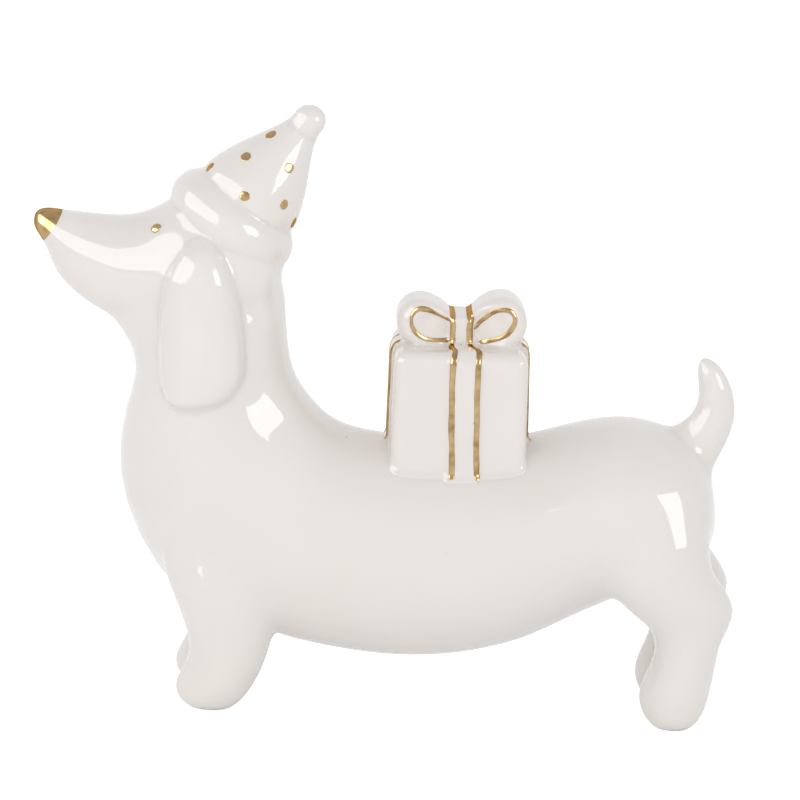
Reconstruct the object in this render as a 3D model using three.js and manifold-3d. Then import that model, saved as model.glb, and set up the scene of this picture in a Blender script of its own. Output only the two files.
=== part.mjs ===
import * as THREE from 'three';
import { LoftGeometry } from 'three/addons/geometries/LoftGeometry.js';
import { mergeVertices } from 'three/addons/utils/BufferGeometryUtils.js';
import Module from 'manifold-3d';

// A standing porcelain dachshund with a party hat on its head and a gift box on its back, in millimetres.
// X runs from the nose to the hocks, Y across the dog and Z up from the ground.
// The dog's left side is the negative Y side.

// Castings: thickness of the slip-cast shells, the gap left at every seat, and the vent in the belly.
const WALL = 3;
const SEAT_GAP = 0.3;
const VENT_RADIUS = 3.5;
const VENT_X = 22;

// Trunk and neck, from the rump to the skull. A station has a point on the back line, the point across
// from it on the belly, chest and throat line, and the half width there.
const TRUNK = [
  { over: [89.3, 55.5], under: [89.3, 55.5], half: 0 },
  { over: [87.8, 66.5], under: [87.5, 46.0], half: 13 },
  { over: [82.4, 75.0], under: [81.5, 39.5], half: 21.5 },
  { over: [74.2, 79.4], under: [73.5, 35.7], half: 25.2 },
  { over: [63.5, 81.0], under: [63.5, 32.8], half: 27.2 },
  { over: [51.5, 78.8], under: [51.6, 27.0], half: 28.2 },
  { over: [38.0, 74.8], under: [39.0, 20.4], half: 28.5 },
  { over: [22.0, 73.0], under: [24.0, 16.1], half: 28.5 },
  { over: [6.0, 73.3], under: [7.0, 14.4], half: 28.5 },
  { over: [-7.0, 74.7], under: [-12.5, 16.1], half: 28.5 },
  { over: [-14.1, 77.2], under: [-32.0, 20.3], half: 28.2 },
  { over: [-19.9, 82.1], under: [-50.5, 27.5], half: 27.2 },
  { over: [-24.1, 87.9], under: [-63.8, 44.0], half: 25.6 },
  { over: [-26.3, 94.2], under: [-69.8, 62.0], half: 23.6 },
  { over: [-27.5, 101.5], under: [-69.1, 77.0], half: 21.6 },
  { over: [-28.2, 108.0], under: [-66.7, 89.0], half: 20.2 },
  { over: [-29.0, 113.5], under: [-69.3, 97.6], half: 19.2 },
  { over: [-32.0, 119.0], under: [-73.8, 103.2], half: 16 },
];

// Head, from the nose to the back of the skull: forehead line, jaw line and half width.
const HEAD = [
  { over: [-96.1, 128.4], under: [-96.1, 128.4], half: 0 },
  { over: [-94.9, 131.4], under: [-94.8, 124.7], half: 3.3 },
  { over: [-91.4, 132.0], under: [-92.0, 120.1], half: 5.8 },
  { over: [-86.5, 131.2], under: [-87.6, 113.2], half: 8.3 },
  { over: [-79.5, 130.7], under: [-80.6, 107.4], half: 10.9 },
  { over: [-71.5, 130.5], under: [-73.2, 103.6], half: 13.4 },
  { over: [-64.5, 132.4], under: [-65.5, 101.0], half: 16 },
  { over: [-57.0, 137.2], under: [-57.5, 99.5], half: 18.2 },
  { over: [-48.0, 139.4], under: [-48.5, 99.2], half: 19 },
  { over: [-39.0, 137.2], under: [-39.5, 101.0], half: 18 },
  { over: [-32.5, 130.0], under: [-32.5, 107.5], half: 13.5 },
  { over: [-29.3, 118.8], under: [-29.3, 118.8], half: 0 },
];

// Front leg, from the sole up into the shoulder: the front and the rear point of a section, its centre's
// distance from the plane of symmetry and its half width.
const FRONT_LEG = [
  { over: [-47.8, 0.0], under: [-38.4, 0.0], side: 12.0, half: 4.0 },
  { over: [-50.6, 1.8], under: [-35.8, 1.8], side: 12.2, half: 6.8 },
  { over: [-51.9, 4.4], under: [-33.6, 4.4], side: 12.4, half: 8.6 },
  { over: [-50.9, 8.0], under: [-31.6, 8.0], side: 12.7, half: 9.5 },
  { over: [-49.3, 12.0], under: [-29.8, 12.0], side: 12.9, half: 9.6 },
  { over: [-49.0, 16.5], under: [-28.4, 16.5], side: 13.2, half: 9.6 },
  { over: [-50.0, 21.0], under: [-27.3, 21.0], side: 13.8, half: 9.8 },
  { over: [-52.6, 28.0], under: [-26.1, 28.0], side: 14.6, half: 10.4 },
  { over: [-56.2, 36.0], under: [-25.6, 36.0], side: 15.2, half: 10.7 },
  { over: [-58.4, 46.0], under: [-27.4, 46.0], side: 14.2, half: 9.0 },
  { over: [-54.0, 56.0], under: [-33.0, 56.0], side: 12.0, half: 5 },
];

// Hind leg, from the sole up into the thigh, in the same terms.
const HIND_LEG = [
  { over: [76.4, 0.0], under: [85.0, 0.0], side: 12.6, half: 4.2 },
  { over: [74.6, 1.6], under: [87.0, 1.6], side: 12.6, half: 7.0 },
  { over: [72.4, 4.4], under: [88.7, 4.4], side: 12.6, half: 8.7 },
  { over: [71.2, 8.4], under: [89.8, 8.4], side: 12.7, half: 9.3 },
  { over: [72.2, 13.0], under: [90.5, 13.0], side: 12.8, half: 9.3 },
  { over: [74.2, 18.0], under: [91.2, 18.0], side: 13.0, half: 9.0 },
  { over: [74.9, 23.0], under: [91.8, 23.0], side: 13.4, half: 8.9 },
  { over: [73.0, 28.0], under: [93.8, 28.0], side: 14.0, half: 9.3 },
  { over: [66.6, 33.2], under: [95.4, 33.4], side: 14.6, half: 10.4 },
  { over: [60.4, 38.6], under: [92.4, 38.4], side: 15.2, half: 11.9 },
  { over: [58.0, 45.0], under: [88.5, 44.2], side: 15.5, half: 12.9 },
  { over: [58.0, 54.0], under: [87.7, 53.0], side: 14.5, half: 12.6 },
  { over: [63.0, 63.0], under: [83.0, 62.0], side: 12.0, half: 9 },
];

// Ear, a thick flap that hangs from under the hat down the side of the neck.
const EAR = [
  { over: [-51.6, 130.5], under: [-51.6, 130.5], side: 12.0, half: 0 },
  { over: [-57.0, 125.6], under: [-46.4, 126.4], side: 12.5, half: 8.8 },
  { over: [-60.4, 119.6], under: [-43.2, 120.6], side: 13.5, half: 10.6 },
  { over: [-61.4, 110.0], under: [-40.5, 111.6], side: 14.2, half: 11.0 },
  { over: [-61.3, 100.0], under: [-38.9, 102.4], side: 14.8, half: 11.2 },
  { over: [-60.6, 91.4], under: [-38.2, 94.2], side: 15.4, half: 11.2 },
  { over: [-58.8, 85.6], under: [-41.0, 87.8], side: 15.8, half: 10.6 },
  { over: [-52.0, 81.6], under: [-52.0, 81.6], side: 16.0, half: 0 },
];
const EAR_SQUARENESS = 2.7;

// Tail, from inside the rump to its tip: the front and the rear point of a section and its half width.
const TAIL = [
  { over: [71.0, 73.0], under: [80.0, 62.0], half: 7 },
  { over: [76.7, 79.1], under: [87.5, 67.2], half: 6.9 },
  { over: [80.9, 82.3], under: [90.1, 73.0], half: 6.0 },
  { over: [82.9, 85.0], under: [92.6, 79.0], half: 5.2 },
  { over: [83.6, 88.6], under: [93.3, 86.0], half: 4.6 },
  { over: [83.2, 93.0], under: [91.6, 92.2], half: 4.0 },
  { over: [82.8, 97.0], under: [88.9, 96.4], half: 3.0 },
  { over: [85.2, 99.0], under: [85.2, 99.0], half: 0 },
];

// Gilded nose: the slanted face behind which the muzzle is bare.
const NOSE_FACE = [-91.1, 126.6];
const NOSE_SLANT = 38;

// Eyes, raised beads.
const EYE = { x: -63.4, z: 129.9, radius: 1.5, thickness: 0.8 };

// Party hat, turned about its own axis. Heights run up the axis from its foot.
const HAT_FOOT = [-45.3, 127.4];
const HAT_TILT = 33;
const HAT_BRIM = { low: -1.5, footRadius: 15.4, sideRadius: 17.8, bulge: 18.4, bulgeHeight: 3.2, fullness: 0.6 };
const HAT_CONE = [
  { height: 11.2, radius: 14.3 },
  { height: 14.5, radius: 13.6 },
  { height: 18.5, radius: 12.3 },
  { height: 24.0, radius: 9.6 },
  { height: 28.5, radius: 7.1 },
  { height: 32.0, radius: 5.2 },
  { height: 34.0, radius: 4.3 },
];
// The pompom is a ball that lacks a cap where it sits on the tip.
const POMPOM = { radius: 4.8, cap: 1.9 };

// Gold dots, painted by hand: height up the hat and turn about its axis, from the front to the left.
const DOT_RADIUS = 1.3;
const GOLD = 0.4;
const DOTS = [
  [12.3, 13], [13.3, 73], [13.4, 152], [13.0, 224], [12.8, 296],
  [21.2, 38], [17.3, 118], [20.4, 207], [19.2, 262], [21.0, 325],
  [29.5, 29], [26.0, 104], [27.6, 226], [28.6, 298],
];

// Gift box, a hollow casting open below. It stands on the sloping back and leans a little to the head.
// Its sides run down past its foot to meet the back, which falls away to both flanks.
const BOX = { x: 20.1, foot: 67, height: 34, length: 34.3, depth: 35, corner: 4.2, edge: 3.8, lean: 1.6 };
const BOX_SKIRT = 6;

// Ribbon: raised bands down the four sides, each with two painted edge lines. The bands on the flanks lie
// a little off the middle.
const RIBBON = { width: 8, thickness: 0.5, flankShift: 1.3 };
const LINE_WIDTH = 1.5;
const SIDE_LINE_TURN = 60;

// Bow: a knot between two fat loops. A loop's gold outline is set in from the flat of its face.
const KNOT = { length: 6.4, depth: 13, height: 6.8, edge: 2.2 };
const KNOT_LINE = { width: 1.6, spacing: 4.6 };
// Length is measured from inside the knot, height at half the length.
const LOOP = { depth: 16.5, rim: 1, taper: 0.5, overlap: 2, centre: 5.4 };
const LOOPS = {
  head_side: { hand: -1, length: 15.7, height: 11.0, tilt: 0 },
  tail_side: { hand: 1, length: 16.1, height: 12.0, tilt: 2 },
};
const OUTLINE = { inset: 0.2, outerInset: 1.8, width: 1.1 };

const wasm = await Module();
wasm.setup();

// Solids and geometries

function turnedOut(geometry) {
  const { position } = geometry.attributes;
  const index = geometry.index;
  const a = new THREE.Vector3();
  const b = new THREE.Vector3();
  const c = new THREE.Vector3();
  let volume = 0;
  for (let i = 0; i < index.count; i += 3) {
    a.fromBufferAttribute(position, index.getX(i));
    b.fromBufferAttribute(position, index.getX(i + 1));
    c.fromBufferAttribute(position, index.getX(i + 2));
    volume += a.dot(b.cross(c));
  }
  if (volume < 0) {
    const order = Array.from(index.array).reverse();
    geometry.setIndex(order);
  }
  return geometry;
}

function bare(geometry) {
  const copy = new THREE.BufferGeometry().copy(geometry);
  copy.deleteAttribute('normal');
  copy.deleteAttribute('uv');
  return turnedOut(mergeVertices(copy));
}

function solid(geometry) {
  const shape = bare(geometry);
  const vertProperties = Float32Array.from(shape.attributes.position.array);
  const triVerts = Uint32Array.from(shape.index.array);
  return new wasm.Manifold(new wasm.Mesh({ numProp: 3, vertProperties, triVerts }));
}

function geometryOf(body) {
  const mesh = body.getMesh();
  const geometry = new THREE.BufferGeometry();
  geometry.setAttribute('position', new THREE.BufferAttribute(Float32Array.from(mesh.vertProperties), 3));
  geometry.setIndex(Array.from(mesh.triVerts));
  return geometry;
}

// Forms skinned through stations

// The neighbour beyond an end: a form that closes on a point carries on as its own mirror image there.
function beyond(end, next) {
  if (end.half === 0) {
    return { over: next.under, under: next.over, side: next.side, half: -next.half };
  }
  const reach = (a, b) => [2 * a[0] - b[0], 2 * a[1] - b[1]];
  return {
    over: reach(end.over, next.over),
    under: reach(end.under, next.under),
    side: 2 * (end.side ?? 0) - (next.side ?? 0),
    half: 2 * end.half - next.half,
  };
}

// Rings of points along a form. from and to are station numbers; a pointed end stops just short of the point.
const SHORT_OF_POINT = 0.06;

function rings(stations, { around, between, mirrored = false, squareness = 2, from = 0, to }) {
  const last = stations.length - 1;
  const full = [
    beyond(stations[0], stations[1]),
    ...stations,
    beyond(stations[last], stations[last - 1]),
  ];
  const hand = mirrored ? -1 : 1;
  const line = (pick) => new THREE.CatmullRomCurve3(full.map(pick));
  const over = line((s) => new THREE.Vector3(s.over[0], 0, s.over[1]));
  const under = line((s) => new THREE.Vector3(s.under[0], 0, s.under[1]));
  const width = line((s) => new THREE.Vector3(s.half, (s.side ?? 0) * hand, 0));
  const start = stations[0].half === 0 && from === 0 ? SHORT_OF_POINT : from;
  const end = stations[last].half === 0 && (to ?? last) === last ? last - SHORT_OF_POINT : to ?? last;
  const marks = [start];
  for (let mark = Math.floor(start) + 1 / between; mark < end - 0.5 / between; mark += 1 / between) {
    if (mark > start + 0.5 / between) {
      marks.push(mark);
    }
  }
  marks.push(end);
  return marks.map((mark) => {
    const t = (mark + 1) / (full.length - 1);
    const top = over.getPoint(t);
    const foot = under.getPoint(t);
    const across = width.getPoint(t);
    const middle = top.clone().add(foot).multiplyScalar(0.5);
    const reach = top.sub(foot).multiplyScalar(0.5);
    const ring = [];
    for (let i = 0; i < around; i += 1) {
      const angle = (2 * Math.PI * i) / around;
      const upward = Math.sign(Math.cos(angle)) * Math.abs(Math.cos(angle)) ** (2 / squareness);
      const sideward = Math.sign(Math.sin(angle)) * Math.abs(Math.sin(angle)) ** (2 / squareness);
      const point = middle.clone().addScaledVector(reach, upward);
      point.y = across.y - hand * across.x * sideward;
      ring.push(point);
    }
    return ring;
  });
}

// The same rings moved square to the surface: outwards for a seat, inwards for the inside of a wall.
function moved(ringList, distance) {
  const lastRing = ringList.length - 1;
  return ringList.map((ring, i) => {
    const ahead = ringList[Math.min(i + 1, lastRing)];
    const behind = ringList[Math.max(i - 1, 0)];
    const middle = new THREE.Vector3();
    ring.forEach((point) => middle.addScaledVector(point, 1 / ring.length));
    return ring.map((point, j) => {
      const along = ahead[j].clone().sub(behind[j]);
      const round = ring[(j + 1) % ring.length].clone().sub(ring[(j + ring.length - 1) % ring.length]);
      const normal = along.cross(round).normalize();
      if (normal.dot(point.clone().sub(middle)) < 0) {
        normal.negate();
      }
      return point.clone().addScaledVector(normal, distance);
    });
  });
}

// A closed skin over the rings. They have to run anticlockwise as seen from the far end.
function loft(ringList) {
  const ring = ringList[1];
  const normal = new THREE.Vector3();
  const travel = new THREE.Vector3();
  ring.forEach((point, i) => {
    const next = ring[(i + 1) % ring.length];
    normal.add(point.clone().cross(next));
    travel.add(ringList[2][i]).sub(point);
  });
  const ordered = normal.dot(travel) < 0 ? ringList.map((points) => points.slice().reverse()) : ringList;
  return new LoftGeometry(ordered, { capStart: true, capEnd: true });
}

// Body shell

const TRUNK_FINE = { around: 28, between: 2 };
const HEAD_FINE = { around: 24, between: 2 };
const LEG_FINE = { around: 16, between: 1 };
const CORE_FINE = { between: 1 };
const HEAD_HALF = Math.max(...HEAD.map((station) => station.half));

function bodyForms() {
  return [
    { stations: TRUNK, ...TRUNK_FINE, core: { from: 1, to: 16, around: 18 } },
    { stations: HEAD, ...HEAD_FINE, core: { from: 4, to: 10, around: 14 } },
    { stations: FRONT_LEG, ...LEG_FINE, core: { from: 4, to: 8, around: 10 } },
    { stations: FRONT_LEG, ...LEG_FINE, mirrored: true, core: { from: 4, to: 8, around: 10 } },
    { stations: HIND_LEG, ...LEG_FINE, core: { from: 4, to: 11, around: 10 } },
    { stations: HIND_LEG, ...LEG_FINE, mirrored: true, core: { from: 4, to: 11, around: 10 } },
  ];
}

function joined(parts) {
  return parts.reduce((whole, part) => whole.add(part));
}

function bodyOutside(grow) {
  return joined(bodyForms().map((form) => {
    const ringList = rings(form.stations, form);
    return solid(loft(grow === 0 ? ringList : moved(ringList, grow)));
  }));
}

function bodyCore() {
  return joined(bodyForms().map((form) => {
    const ringList = rings(form.stations, { ...form, ...form.core, ...CORE_FINE });
    return solid(loft(moved(ringList, -WALL)));
  }));
}

function vent() {
  const floor = Math.min(...TRUNK.map((station) => station.under[1]));
  const drill = new THREE.CylinderGeometry(VENT_RADIUS, VENT_RADIUS, 4 * WALL, 16);
  drill.rotateX(Math.PI / 2);
  drill.translate(VENT_X, 0, floor);
  return solid(drill);
}

// Everything ahead of the gilded nose's slanted face, or ahead of a face set back from it.
function aheadOfNoseFace(back) {
  const size = 2 * HEAD_HALF;
  const block = new THREE.BoxGeometry(size, size, size);
  block.translate(back - size / 2, 0, 0);
  block.rotateY(THREE.MathUtils.degToRad(NOSE_SLANT));
  block.translate(NOSE_FACE[0], 0, NOSE_FACE[1]);
  return solid(block);
}

const outside = bodyOutside(0);
const seat = bodyOutside(SEAT_GAP);
const shell = outside.subtract(bodyCore()).subtract(vent()).subtract(aheadOfNoseFace(SEAT_GAP));
const nose = outside.intersect(aheadOfNoseFace(0));

function ear(hand) {
  const form = { around: 20, between: 2, mirrored: hand < 0, squareness: EAR_SQUARENESS };
  const flap = solid(loft(rings(EAR, form)));
  return flap.subtract(seat).subtract(brimSeat());
}

function tail() {
  return solid(loft(rings(TAIL, { around: 14, between: 2 }))).subtract(seat);
}

// Middle, half height and half width of the head's section under a point of the side view.
function headSection(x) {
  const middle = (s) => (s.over[0] + s.under[0]) / 2;
  const after = HEAD.findIndex((station) => middle(station) > x);
  const a = HEAD[after - 1];
  const b = HEAD[after];
  const share = (x - middle(a)) / (middle(b) - middle(a));
  const top = THREE.MathUtils.lerp(a.over[1], b.over[1], share);
  const foot = THREE.MathUtils.lerp(a.under[1], b.under[1], share);
  return {
    middle: (top + foot) / 2,
    halfHeight: (top - foot) / 2,
    half: THREE.MathUtils.lerp(a.half, b.half, share),
  };
}

// A flat bead lying in the head's surface.
function eye(hand) {
  const { middle, halfHeight, half } = headSection(EYE.x);
  const rise = (EYE.z - middle) / halfHeight;
  const out = Math.sqrt(1 - rise * rise);
  const bead = new THREE.SphereGeometry(EYE.radius, 12, 8);
  bead.scale(1, EYE.thickness / EYE.radius, 1);
  bead.rotateX(hand * Math.atan2(rise / halfHeight, out / half));
  bead.translate(EYE.x, hand * half * out, EYE.z);
  return solid(bead).subtract(seat);
}

// Hat, in its own upright frame

const HAT_ROUND = 28;
const BRIM_STEPS = 10;
const POMPOM_STEPS = 7;
const hatMatrix = new THREE.Matrix4()
  .makeTranslation(HAT_FOOT[0], 0, HAT_FOOT[1])
  .multiply(new THREE.Matrix4().makeRotationY(THREE.MathUtils.degToRad(HAT_TILT)));

function turned(profile, round) {
  const points = profile.map(([radius, height]) => new THREE.Vector2(radius, height));
  const geometry = new THREE.LatheGeometry(points, round);
  geometry.rotateX(Math.PI / 2);
  return geometry;
}

function inFrame(geometry, matrix) {
  return new THREE.BufferGeometry().copy(geometry).applyMatrix4(matrix);
}

function brimOutline(grow) {
  const { low, footRadius, sideRadius, bulge, bulgeHeight, fullness } = HAT_BRIM;
  const crease = HAT_CONE[0].radius + SEAT_GAP;
  const top = HAT_CONE[0].height;
  const curve = new THREE.CatmullRomCurve3([
    new THREE.Vector3(footRadius, low, 0),
    new THREE.Vector3(sideRadius, (low + bulgeHeight) / 2, 0),
    new THREE.Vector3(bulge, bulgeHeight, 0),
    new THREE.Vector3((bulge * 2 + crease) / 3, (bulgeHeight + top) / 2 + fullness, 0),
    new THREE.Vector3(crease, top, 0),
  ]);
  return curve.getPoints(BRIM_STEPS).map((point) => [point.x + grow, point.y]);
}

function brimSeat() {
  const outline = brimOutline(SEAT_GAP);
  const profile = [
    [0, HAT_BRIM.low - SEAT_GAP],
    [outline[0][0], HAT_BRIM.low - SEAT_GAP],
    ...outline,
    [0, HAT_CONE[0].height],
  ];
  return solid(inFrame(turned(profile, HAT_ROUND), hatMatrix));
}

function seatIn(matrix) {
  return solid(inFrame(geometryOf(seat), matrix.clone().invert()));
}

const backFromHat = seatIn(hatMatrix);

function brim() {
  const outline = brimOutline(0);
  const inner = HAT_CONE[0].radius + SEAT_GAP;
  const foot = outline[0];
  const profile = [[inner, foot[1]], ...outline, [inner, foot[1]]];
  return solid(turned(profile, HAT_ROUND)).subtract(backFromHat);
}

function coneRadius(height) {
  const after = HAT_CONE.findIndex((ring) => ring.height >= height);
  const b = HAT_CONE[after];
  const a = HAT_CONE[Math.max(after - 1, 0)];
  const share = after === 0 ? 1 : (height - a.height) / (b.height - a.height);
  return a.radius + (b.radius - a.radius) * share;
}

function cone() {
  const foot = HAT_CONE[0];
  const tip = HAT_CONE[HAT_CONE.length - 1];
  const hollow = HAT_CONE.filter((ring) => ring.radius > 2 * WALL);
  const profile = [
    [0, hollow[hollow.length - 1].height],
    ...hollow.reverse().map((ring) => [ring.radius - WALL, ring.height - WALL / 2]),
    [foot.radius - WALL, HAT_BRIM.low],
    [foot.radius, HAT_BRIM.low],
    ...HAT_CONE.map((ring) => [ring.radius, ring.height]),
    [0, tip.height],
  ];
  return solid(turned(profile, HAT_ROUND)).subtract(backFromHat);
}

function pompom() {
  const { radius, cap } = POMPOM;
  const low = HAT_CONE[HAT_CONE.length - 1].height + SEAT_GAP;
  const middle = low + radius - cap;
  const start = Math.acos((radius - cap) / radius);
  const profile = [[0, low]];
  for (let i = 0; i < POMPOM_STEPS; i += 1) {
    const angle = start + ((Math.PI - start) * i) / POMPOM_STEPS;
    profile.push([radius * Math.sin(angle), middle - radius * Math.cos(angle)]);
  }
  profile.push([0, middle + radius]);
  return turned(profile, 16);
}

function dot(name, [height, turn]) {
  const step = 0.5;
  const rise = Math.atan((coneRadius(height - step) - coneRadius(height + step)) / (2 * step));
  const angle = THREE.MathUtils.degToRad(turn);
  const outward = new THREE.Vector3(-Math.cos(angle), -Math.sin(angle), 0);
  const normal = outward.clone().multiplyScalar(Math.cos(rise)).setZ(Math.sin(rise));
  const mesh = piece(name, new THREE.CylinderGeometry(DOT_RADIUS, DOT_RADIUS, GOLD, 10), gold);
  mesh.position.copy(outward).multiplyScalar(coneRadius(height)).setZ(height);
  mesh.position.addScaledVector(normal, SEAT_GAP + GOLD / 2);
  mesh.quaternion.setFromUnitVectors(mesh.up, normal);
  return mesh;
}

// Gift box, ribbon and bow, in the box's own upright frame with its origin at the middle of its foot

const giftMatrix = new THREE.Matrix4()
  .makeTranslation(BOX.x, 0, BOX.foot)
  .multiply(new THREE.Matrix4().makeRotationY(THREE.MathUtils.degToRad(-BOX.lean)));
const backUnderGift = seatIn(giftMatrix);

function roundedRectangle(length, depth, corner) {
  const shape = new THREE.Shape();
  const x = length / 2 - corner;
  const y = depth / 2 - corner;
  shape.absarc(x, y, corner, 0, Math.PI / 2);
  shape.absarc(-x, y, corner, Math.PI / 2, Math.PI);
  shape.absarc(-x, -y, corner, Math.PI, 1.5 * Math.PI);
  shape.absarc(x, -y, corner, 1.5 * Math.PI, 2 * Math.PI);
  return shape;
}

function roundedBlock(length, depth, low, high, corner, edge) {
  const outline = roundedRectangle(length - 2 * edge, depth - 2 * edge, corner - edge);
  const block = new THREE.ExtrudeGeometry(outline, {
    depth: high - low - 2 * edge,
    bevelThickness: edge,
    bevelSize: edge,
    bevelSegments: 3,
    curveSegments: 3,
  });
  block.translate(0, 0, low + edge);
  return block;
}

function giftBox() {
  const { length, depth, height, corner, edge } = BOX;
  const outer = roundedBlock(length, depth, -BOX_SKIRT, height, corner, edge);
  const inner = new THREE.BoxGeometry(length - 2 * WALL, depth - 2 * WALL, height + BOX_SKIRT);
  inner.translate(0, 0, (height - BOX_SKIRT) / 2 - WALL);
  return solid(outer).subtract(solid(inner)).subtract(backUnderGift);
}

// A strip that stands against an upright face and bends over the edge above it, drawn in its own plane.
// Past a full quarter turn it runs on along the top as far as end.
const QUARTER_TURN = 90;

function bentStrip({ out, low, top, corner, thickness, turn, end }) {
  const shape = new THREE.Shape();
  const angle = THREE.MathUtils.degToRad(turn);
  shape.moveTo(out, low);
  shape.lineTo(out + thickness, low);
  shape.absarc(out - corner, top - corner, corner + thickness, 0, angle);
  if (turn === QUARTER_TURN) {
    shape.lineTo(end, top + thickness);
    shape.lineTo(end, top);
  }
  shape.absarc(out - corner, top - corner, corner, angle, 0, true);
  return shape;
}

function extruded(shape, width, curveSegments = 4) {
  const geometry = new THREE.ExtrudeGeometry(shape, { depth: width, bevelEnabled: false, curveSegments });
  geometry.translate(0, 0, -width / 2);
  geometry.rotateX(Math.PI / 2);
  return geometry;
}

// On the flanks the gold lines run on to the knot, and at the two ends they stop under the loops.
const flank = { half: BOX.depth / 2, end: KNOT.depth / 2, shift: RIBBON.flankShift, lineTurn: QUARTER_TURN };
const boxEnd = { half: BOX.length / 2, end: KNOT.length / 2, shift: 0, lineTurn: SIDE_LINE_TURN };
const sides = [
  { name: 'left', angle: -Math.PI / 2, ...flank },
  { name: 'right', angle: Math.PI / 2, ...flank },
  { name: 'head_side', angle: Math.PI, ...boxEnd },
  { name: 'tail_side', angle: 0, ...boxEnd },
];

function ribbon({ angle, half, end, shift }) {
  const strip = extruded(bentStrip({
    out: half + SEAT_GAP,
    low: -BOX_SKIRT,
    top: BOX.height + SEAT_GAP,
    corner: BOX.edge + SEAT_GAP,
    thickness: RIBBON.thickness,
    turn: QUARTER_TURN,
    end: end + SEAT_GAP,
  }), RIBBON.width);
  strip.rotateZ(angle);
  strip.translate(shift, 0, 0);
  return solid(strip).subtract(backUnderGift);
}

// How far the outer face of a ribbon band stands off the box.
const RIBBON_FACE = SEAT_GAP + RIBBON.thickness;

function ribbonLine({ angle, half, end, shift, lineTurn }, edge) {
  const strip = extruded(bentStrip({
    out: half + RIBBON_FACE + SEAT_GAP,
    low: -BOX_SKIRT,
    top: BOX.height + RIBBON_FACE + SEAT_GAP,
    corner: BOX.edge + RIBBON_FACE + SEAT_GAP,
    thickness: GOLD,
    turn: lineTurn,
    end: end + SEAT_GAP + GOLD + SEAT_GAP,
  }), LINE_WIDTH);
  strip.translate(0, edge * (RIBBON.width - LINE_WIDTH) / 2, 0);
  strip.rotateZ(angle);
  strip.translate(shift, 0, 0);
  return solid(strip).subtract(backUnderGift);
}

const knotFoot = BOX.height + SEAT_GAP;

function knot() {
  const profile = new THREE.Shape();
  const half = KNOT.depth / 2;
  const top = knotFoot + KNOT.height;
  profile.moveTo(-half, knotFoot);
  profile.lineTo(half, knotFoot);
  profile.absarc(half - KNOT.edge, top - KNOT.edge, KNOT.edge, 0, Math.PI / 2);
  profile.absarc(-half + KNOT.edge, top - KNOT.edge, KNOT.edge, Math.PI / 2, Math.PI);
  return extruded(profile, KNOT.length).rotateZ(Math.PI / 2);
}

function knotLine(edge) {
  const half = KNOT.depth / 2 + SEAT_GAP;
  const top = knotFoot + KNOT.height + SEAT_GAP;
  const low = knotFoot + RIBBON_FACE + 2 * SEAT_GAP + GOLD;
  const corner = KNOT.edge + SEAT_GAP;
  const arch = new THREE.Shape();
  arch.moveTo(half, low);
  arch.lineTo(half + GOLD, low);
  arch.absarc(half - corner, top - corner, corner + GOLD, 0, Math.PI / 2);
  arch.absarc(-half + corner, top - corner, corner + GOLD, Math.PI / 2, Math.PI);
  arch.lineTo(-half - GOLD, low);
  arch.lineTo(-half, low);
  arch.absarc(-half + corner, top - corner, corner, Math.PI, Math.PI / 2, true);
  arch.absarc(half - corner, top - corner, corner, Math.PI / 2, 0, true);
  const strip = extruded(arch, KNOT_LINE.width).rotateZ(Math.PI / 2);
  strip.translate(edge * KNOT_LINE.spacing / 2, 0, 0);
  return strip;
}

// A loop's outline, narrower at the knot, moved in from its rim and, by a share of its own, from its outer end.
function loopOutline({ length, height }, inset, outerInset = 0, points = 24) {
  const outline = [];
  const reach = length - 2 * inset - outerInset;
  for (let i = 0; i < points; i += 1) {
    const angle = (2 * Math.PI * i) / points;
    const narrowing = 1 - LOOP.taper * Math.cos(angle);
    const x = inset + (reach * (1 - Math.cos(angle))) / 2;
    const y = (inset - height / 2) * Math.sin(angle) * narrowing;
    outline.push(new THREE.Vector2(x, y));
  }
  return outline;
}

// Puts a shape drawn as a loop's face where that loop is.
function placedAsLoop(geometry, { hand, tilt }) {
  geometry.rotateX(Math.PI / 2);
  geometry.rotateY(THREE.MathUtils.degToRad(-tilt));
  geometry.translate(KNOT.length / 2 - LOOP.overlap, 0, BOX.height + LOOP.centre);
  if (hand < 0) {
    geometry.rotateZ(Math.PI);
  }
  return geometry;
}

// Room for the knot between the loops, with its clearance.
function knotRoom() {
  const room = new THREE.BoxGeometry(KNOT.length + 2 * SEAT_GAP, BOX.depth, BOX.height);
  room.translate(0, 0, BOX.height * 1.5);
  return solid(room);
}

// The box and the ribbon that passes under the loops, with their clearance.
function underLoops() {
  const top = new THREE.BoxGeometry(BOX.length * 2, BOX.depth, BOX.height);
  top.translate(0, 0, BOX.height / 2 + SEAT_GAP);
  const lengthways = new THREE.BoxGeometry(BOX.length * 2, RIBBON.width + 2 * SEAT_GAP, BOX.height);
  lengthways.translate(0, 0, BOX.height / 2 + RIBBON_FACE + SEAT_GAP);
  const across = new THREE.BoxGeometry(RIBBON.width + 2 * SEAT_GAP, BOX.depth, BOX.height);
  across.translate(RIBBON.flankShift, 0, BOX.height / 2 + RIBBON_FACE + SEAT_GAP + GOLD + SEAT_GAP);
  return joined([top, lengthways, across].map(solid));
}

function loop(form) {
  const cushion = new THREE.ExtrudeGeometry(new THREE.Shape(loopOutline(form, LOOP.rim)), {
    depth: LOOP.depth - 2 * LOOP.rim,
    bevelThickness: LOOP.rim,
    bevelSize: LOOP.rim,
    bevelSegments: 3,
  });
  cushion.translate(0, 0, -LOOP.depth / 2 + LOOP.rim);
  return solid(placedAsLoop(cushion, form)).subtract(underLoops()).subtract(knotRoom());
}

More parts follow.
